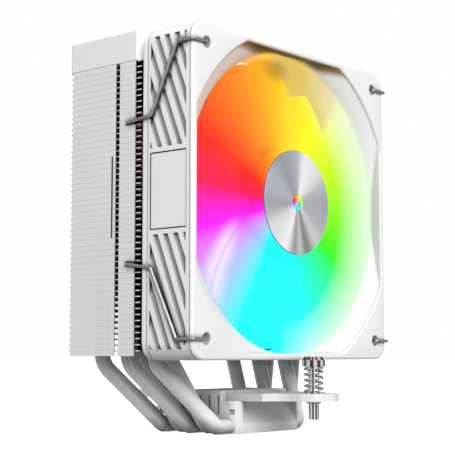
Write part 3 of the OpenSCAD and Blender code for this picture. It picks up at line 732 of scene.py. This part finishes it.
def build_fan_frame():
    count = 288
    angles = [2 * math.pi * (i + 0.5) / count for i in range(count)]
    rings = frame_rings(angles)
    verts = []
    for ring in rings:
        for (r, d), a in zip(ring, angles):
            verts.append((r * math.cos(a), FRONT_Y + d, FAN_Z + r * math.sin(a)))
    piece = make_piece("fan_frame_shell", verts, ring_faces(len(rings), count, True), ROOT,
                       "white_plastic", WHITE_PLASTIC, ["fan_frame"])
    panel_low, panel_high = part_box("side_panel_left")
    depth = panel_high.x - panel_low.x + 0.03 * MM
    for side in (-1, 1):
        low = (side * FAN_X - depth, panel_low.y - 0.02 * MM, panel_low.z - 0.02 * MM)
        high = (side * FAN_X + depth, panel_high.y + 0.02 * MM, panel_high.z + 0.02 * MM)
        cut(piece, tool_mesh(box_verts(low, high), BOX_FACES))
    for x in (-HOLE_OFF, HOLE_OFF):
        for z in (-HOLE_OFF, HOLE_OFF):
            bevel = 0.35 * MM
            hole = [(HOLE_R + bevel + 1 * MM, -1 * MM), (HOLE_R, bevel), (HOLE_R, FAN_T + 1 * MM)]
            cut(piece, tool_mesh(*lathe(hole, (x, FRONT_Y, FAN_Z + z), "y", 40)))
    sharpen(piece, 24)


def build_struts():
    """Motor cup, bearing tube and the four struts behind the rotor."""
    outline = [(4.02 * MM, 8 * MM), (5 * MM, 8 * MM), (5 * MM, 22.8 * MM), (SKIRT_R, 22.8 * MM),
               (SKIRT_R, FAN_T), (0.6 * MM, FAN_T), (0.6 * MM, 22.9 * MM), (4.02 * MM, 22.9 * MM)]
    cup = rounded_profile(outline, 0.15 * MM, 2)
    piece = make_piece("motor_cup", *lathe(cup, (0, FRONT_Y, FAN_Z), "y", 72, True), ROOT,
                       "white_plastic", WHITE_PLASTIC)
    sharpen(piece, 40)
    half = 2 * MM
    for i in range(4):
        a = math.pi / 4 + i * math.pi / 2
        out, side = Vector((math.cos(a), 0, math.sin(a))), Vector((-math.sin(a), 0, math.cos(a)))
        verts = []
        for r, w in ((SKIRT_R - 1 * MM, half * 1.25), (DUCT_R + 0.5 * MM, half)):
            for s in (-1, 1):
                for d in (FAN_T - 3 * MM, FAN_T - 0.02 * MM):
                    p = out * r + side * (s * w)
                    verts.append((p.x, FRONT_Y + d, FAN_Z + p.z))
        strut = make_piece(f"fan_strut_{i + 1}", verts, BOX_FACES, ROOT, "white_plastic", WHITE_PLASTIC)
        add_bevel(strut, 0.5 * MM)


# ---------------------------------------------------------------- side trim

def smoothstep(low, high, x):
    t = np.clip((x - low) / (high - low), 0, 1)
    return t * t * (3 - 2 * t)


RIB_PITCH = 4.85 * MM
RIB_EDGE = -1.0 * MM                # front wall of a groove, from the fan's front face at its axis
RIB_SLANT = math.tan(math.radians(22))
RIB_DEPTH = 1.25 * MM
RIB_INNER = 15.6 * MM
RIB_OUTER = 56.2 * MM
RIB_Y = (-28.6 * MM, -11.3 * MM)
GROOVE_WALL = 0.14 * MM
GROOVE_ROUND = 2.5 * MM             # width over which the next rib rounds down into it


def rib_height(y, z, z_low, z_high):
    """Depth of the grooves in one rib field: steep in front, rounded behind; 0 outside the field."""
    phase = (y - FRONT_Y - RIB_EDGE - z * RIB_SLANT) / RIB_PITCH
    along = ((phase + 0.1) % 1 - 0.1) * RIB_PITCH
    t = np.clip(along / GROOVE_ROUND, 0, 1)
    rounded = np.cos(t * math.pi / 2) ** 0.85
    steep = smoothstep(-GROOVE_WALL, 0, along)
    inside = (smoothstep(0, 0.25 * MM, y - RIB_Y[0]) * smoothstep(0, 0.25 * MM, RIB_Y[1] - y)
              * smoothstep(0, 0.3 * MM, z - z_low) * smoothstep(0, 0.3 * MM, z_high - z))
    return -RIB_DEPTH * rounded * steep * inside


def build_side_panel(side, name):
    """Trim with slanted rounded ribs above and below the nameplate, as one closed shell."""
    low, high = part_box(name)
    rows_y = np.linspace(low.y, high.y, 170)
    rows_z = np.linspace(low.z, high.z, 560)
    y, z = np.meshgrid(rows_y, rows_z)
    up = z - FAN_Z
    height = rib_height(y, up, RIB_INNER, RIB_OUTER) + rib_height(y, up, -RIB_OUTER, -RIB_INNER)
    plate_low, plate_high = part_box(name.replace("side_panel", "nameplate"))
    seat = 0.9 * MM
    over = 0.12 * MM
    in_plate = ((y > plate_low.y - over) & (y < plate_high.y + over)
                & (z > plate_low.z - over) & (z < plate_high.z + over))
    height = np.where(in_plate, -seat, height)
    bulge = np.maximum(np.abs(up) - (FAN_X - CORNER_R), 0)
    edge = FAN_X - CORNER_R + np.sqrt(CORNER_R ** 2 - bulge ** 2)
    x_out = side * (edge + height - 0.02 * MM)
    back = side * (FAN_X - (high.x - low.x) + 0.02 * MM)
    count_z, count_y = y.shape
    top = np.stack([x_out, y, z], -1).reshape(-1, 3)
    flat = top.copy()
    flat[:, 0] = back
    border = [j for j in range(count_y)]
    border += [i * count_y + count_y - 1 for i in range(1, count_z)]
    border += [(count_z - 1) * count_y + j for j in range(count_y - 2, -1, -1)]
    border += [i * count_y for i in range(count_z - 2, 0, -1)]
    verts = list(map(tuple, top)) + [tuple(flat[i]) for i in border]
    faces = [(i * count_y + j, i * count_y + j + 1, (i + 1) * count_y + j + 1, (i + 1) * count_y + j)
             for i in range(count_z - 1) for j in range(count_y - 1)]
    base = len(top)
    ring = len(border)
    faces += [(border[k], border[(k + 1) % ring], base + (k + 1) % ring, base + k) for k in range(ring)]
    faces.append(tuple(base + k for k in range(ring)))
    piece = make_piece(name + "_ribbed", verts, faces, ROOT, "panel_white", PANEL_WHITE, [name])
    sharpen(piece, 50)


def build_nameplate(side, name):
    """Blank plate with softly rounded edges."""
    low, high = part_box(name)
    verts = box_verts(low, high)
    piece = make_piece(name + "_plate", verts, BOX_FACES, ROOT, "panel_white", PANEL_WHITE, [name])
    add_bevel(piece, 0.25 * MM)


# ---------------------------------------------------------------- rotor

def blade_section(radius, lead_angle, trail_angle, front, rear, thick):
    """Closed loop of (angle, depth) points round a cambered blade at one radius."""
    steps = 18
    upper, lower = [], []
    for i in range(steps + 1):
        t = 0.5 - 0.5 * math.cos(math.pi * i / steps)
        angle = lead_angle + (trail_angle - lead_angle) * t
        depth = front + (rear - front) * t ** 1.18
        half = thick * (0.22 + 1.9 * math.sqrt(t) * (1 - t) ** 0.8) / 2
        slope_a = (trail_angle - lead_angle) * radius
        slope_d = (rear - front) * 1.18 * max(t, 0.02) ** 0.18
        size = math.hypot(slope_a, slope_d)
        across = (-slope_d / size, slope_a / size)
        upper.append((angle + across[0] * half / radius, depth + across[1] * half))
        lower.append((angle - across[0] * half / radius, depth - across[1] * half))
    return upper + lower[::-1]


def build_blade(index, count):
    """One swept, twisted blade from inside the hub wall to the tip."""
    sections = 22
    root, tip = HUB_R - 0.8 * MM, BLADE_TIP_R - 0.15 * MM
    base = 2 * math.pi * index / count
    verts = []
    for k in range(sections):
        share = k / (sections - 1)
        radius = root + (tip - root) * share
        cover = math.radians(84 - 24 * share)
        sweep = math.radians(12 * share ** 1.6 - 4)
        front = (6.2 - 1.8 * share) * MM
        rear = (20.0 - 1.2 * share) * MM
        thick = (2.0 - 0.9 * share) * MM
        lead = base + sweep + cover / 2
        trail = base + sweep - cover / 2
        if k == sections - 1:
            thick *= 0.55
        for angle, depth in blade_section(radius, lead, trail, front, rear, thick):
            verts.append((radius * math.cos(angle), FRONT_Y + depth, FAN_Z + radius * math.sin(angle)))
    ring = len(verts) // sections
    faces = ring_faces(sections, ring)
    faces.append(tuple(range(ring)))
    faces.append(tuple(range(len(verts) - 1, len(verts) - 1 - ring, -1)))
    piece = make_piece(f"fan_blade_{index + 1}", verts, faces, ROTOR, "blade_frosted", BLADE_LIT)
    piece.visible_glossy = False
    sharpen(piece, 60)


def build_rotor():
    blades = 9
    for i in range(blades):
        build_blade(i, blades)
    t = 0.82 * MM
    hub = [(2.98 * MM, 0.1 * MM), (2.98 * MM, t), (HUB_R - 0.25 * MM, t), (HUB_R, t + 0.3 * MM)]
    hub += [(HUB_R, HUB_STEP - 0.5 * MM), (HUB_R - 0.25 * MM, HUB_STEP - 0.3 * MM)]
    hub += [(HUB_R - 0.25 * MM, HUB_STEP)]
    hub += fillet((SKIRT_R, HUB_STEP), (HUB_R, HUB_STEP), (SKIRT_R, HUB_END), 0.5 * MM)
    hub += [(SKIRT_R, HUB_END), (19.5 * MM, HUB_END), (19.5 * MM, 3.3 * MM)]
    hub += [(1.6 * MM, 3.3 * MM), (1.6 * MM, 0.1 * MM)]
    piece = make_piece("impeller_hub", *lathe(hub, (0, FRONT_Y, FAN_Z), "y", 128, True), ROTOR,
                       "blade_frosted", HUB_LIT, ["impeller"])
    piece.visible_glossy = False
    sharpen(piece, 40)
    low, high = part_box("hub_disc")
    disc_r = high.x
    disc = [(3.0 * MM, 0.25 * MM), (3.2 * MM, 0.05 * MM), (disc_r - 0.12 * MM, 0.05 * MM), (disc_r, 0.2 * MM),
            (disc_r, 0.8 * MM), (3.0 * MM, 0.8 * MM)]
    piece = make_piece("hub_disc_spun", *lathe(disc, (0, FRONT_Y, FAN_Z), "y", 160, True), ROTOR,
                       "spun_aluminium", DISC_METAL, ["hub_disc"])
    sharpen(piece, 20)


# ---------------------------------------------------------------- springs

def build_spring(name):
    """A round-wire coil with closed ends, sized to the spring's CAD box."""
    low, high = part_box(name)
    wire = 0.5 * MM
    coil = (high.x - low.x) / 2 - wire
    middle = (low + high) / 2
    turns, steps, sides = 5, 48, 14
    start = low.z + wire
    coil_length = high.z - low.z - 2 * wire
    rings = turns * steps
    dead = 0.5 / turns
    verts = []
    for i in range(rings + 1):
        t = i / rings
        a = 2 * math.pi * turns * t
        z = start + coil_length * min(max((t - dead) / (1 - 2 * dead), 0), 1)
        for j in range(sides):
            b = 2 * math.pi * j / sides
            r = coil + wire * math.cos(b)
            verts.append((middle.x + r * math.cos(a), middle.y + r * math.sin(a), z + wire * math.sin(b)))
    faces = ring_faces(rings + 1, sides)
    faces.append(tuple(range(sides)))
    faces.append(tuple(range(len(verts) - 1, len(verts) - 1 - sides, -1)))
    piece = make_piece(name + "_coil", verts, faces, ROOT, "screw_steel", SCREW_STEEL, [name])
    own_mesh(piece)


# ---------------------------------------------------------------- light, floor, camera

def build_world():
    """White to the camera, dim and darker below for soft light, banded for mirror-like metal."""
    world = bpy.data.worlds.new("studio")
    bpy.context.scene.world = world
    world.use_nodes = True
    tree = world.node_tree
    tree.nodes.clear()
    sky = add(tree, "ShaderNodeTexCoord").outputs["Generated"]
    direction = add(tree, "ShaderNodeSeparateXYZ", {0: sky})
    soft_range = {"Value": direction.outputs["Z"], "From Min": -0.25, "From Max": 0.35,
                  "To Min": 0.27, "To Max": 0.38}
    soft = add(tree, "ShaderNodeMapRange", soft_range).outputs[0]
    bearing = calc(tree, "ARCTAN2", direction.outputs["Y"], direction.outputs["X"])
    stripes = calc(tree, "SINE", calc(tree, "MULTIPLY", bearing, 5.0))
    bands = add(tree, "ShaderNodeMapRange", {"Value": stripes, "From Min": -0.35, "From Max": 0.45,
                                            "To Min": 0.05, "To Max": 1.1}).outputs[0]
    path = add(tree, "ShaderNodeLightPath")
    light = add(tree, "ShaderNodeMix", {0: path.outputs["Is Glossy Ray"], 2: soft, 3: bands}).outputs[0]
    light = add(tree, "ShaderNodeMix", {0: path.outputs["Is Camera Ray"], 2: light, 3: 1.0}).outputs[0]
    back = add(tree, "ShaderNodeBackground", {"Color": (1, 1, 1, 1), "Strength": light})
    add(tree, "ShaderNodeOutputWorld", {"Surface": back.outputs[0]})


def build_lights():
    middle = (0, 0, 85 * MM)
    add_area("front_softbox", (-0.45, -1.3, 0.80), middle, 1.0, 20)
    add_area("left_softbox", (-1.4, 0.15, 0.85), middle, 0.9, 10)


def build_floor():
    material, tree = new_material("studio_floor")
    tint = noise(tree, 8, 2)
    base = ramp(tree, tint, [(0.3, grey(0.9)), (0.7, grey(0.92))])
    surface(tree, {"Base Color": base, "Roughness": 0.9,
                   "Emission Color": (1, 1, 1, 1), "Emission Strength": 0.95})
    size = 6.0
    mesh = bpy.data.meshes.new("studio_floor")
    level = -0.0004
    mesh.from_pydata([(-size, -size, level), (size, -size, level), (size, size, level), (-size, size, level)],
                     [], [(0, 1, 2, 3)])
    mesh.materials.append(material)
    floor = bpy.data.objects.new("studio_floor", mesh)
    bpy.context.scene.collection.objects.link(floor)
    floor.visible_diffuse = False
    floor.visible_glossy = False


def add_area(name, place, target, size, power):
    light = bpy.data.lights.new(name, "AREA")
    light.size = size
    light.energy = power
    lamp = bpy.data.objects.new(name, light)
    lamp.location = place
    lamp.rotation_euler = (Vector(target) - Vector(place)).to_track_quat("-Z", "Y").to_euler()
    bpy.context.scene.collection.objects.link(lamp)


def build_camera():
    """Long lens from the front left, a little above the base, looking slightly up."""
    camera = bpy.data.cameras.new("camera")
    camera.sensor_width = 36
    camera.lens = 96.5
    camera.clip_start, camera.clip_end = 0.01, 20
    view = bpy.data.objects.new("camera", camera)
    view.location = (-0.3712, -0.3121, 0.0303)
    yaw, pitch = math.radians(49.648), math.radians(5.837)
    ahead = Vector((math.sin(yaw) * math.cos(pitch), math.cos(yaw) * math.cos(pitch), math.sin(pitch)))
    view.rotation_euler = ahead.to_track_quat("-Z", "Y").to_euler()
    bpy.context.scene.collection.objects.link(view)
    bpy.context.scene.camera = view


def set_tone():
    scene = bpy.context.scene
    scene.view_settings.view_transform = "Standard"
    scene.view_settings.look = "None"
    scene.cycles.use_denoising = True
    scene.cycles.max_bounces = 8
    scene.cycles.caustics_reflective = False
    scene.cycles.caustics_refractive = False


# ---------------------------------------------------------------- build

dress_cad()
build_fan_frame()
build_struts()
for side, label in ((-1, "left"), (1, "right")):
    build_side_panel(side, "side_panel_" + label)
    build_nameplate(side, "nameplate_" + label)
build_rotor()
build_spring("screw_spring_front")
build_spring("screw_spring_rear")
build_world()
build_lights()
build_floor()
build_camera()
set_tone()
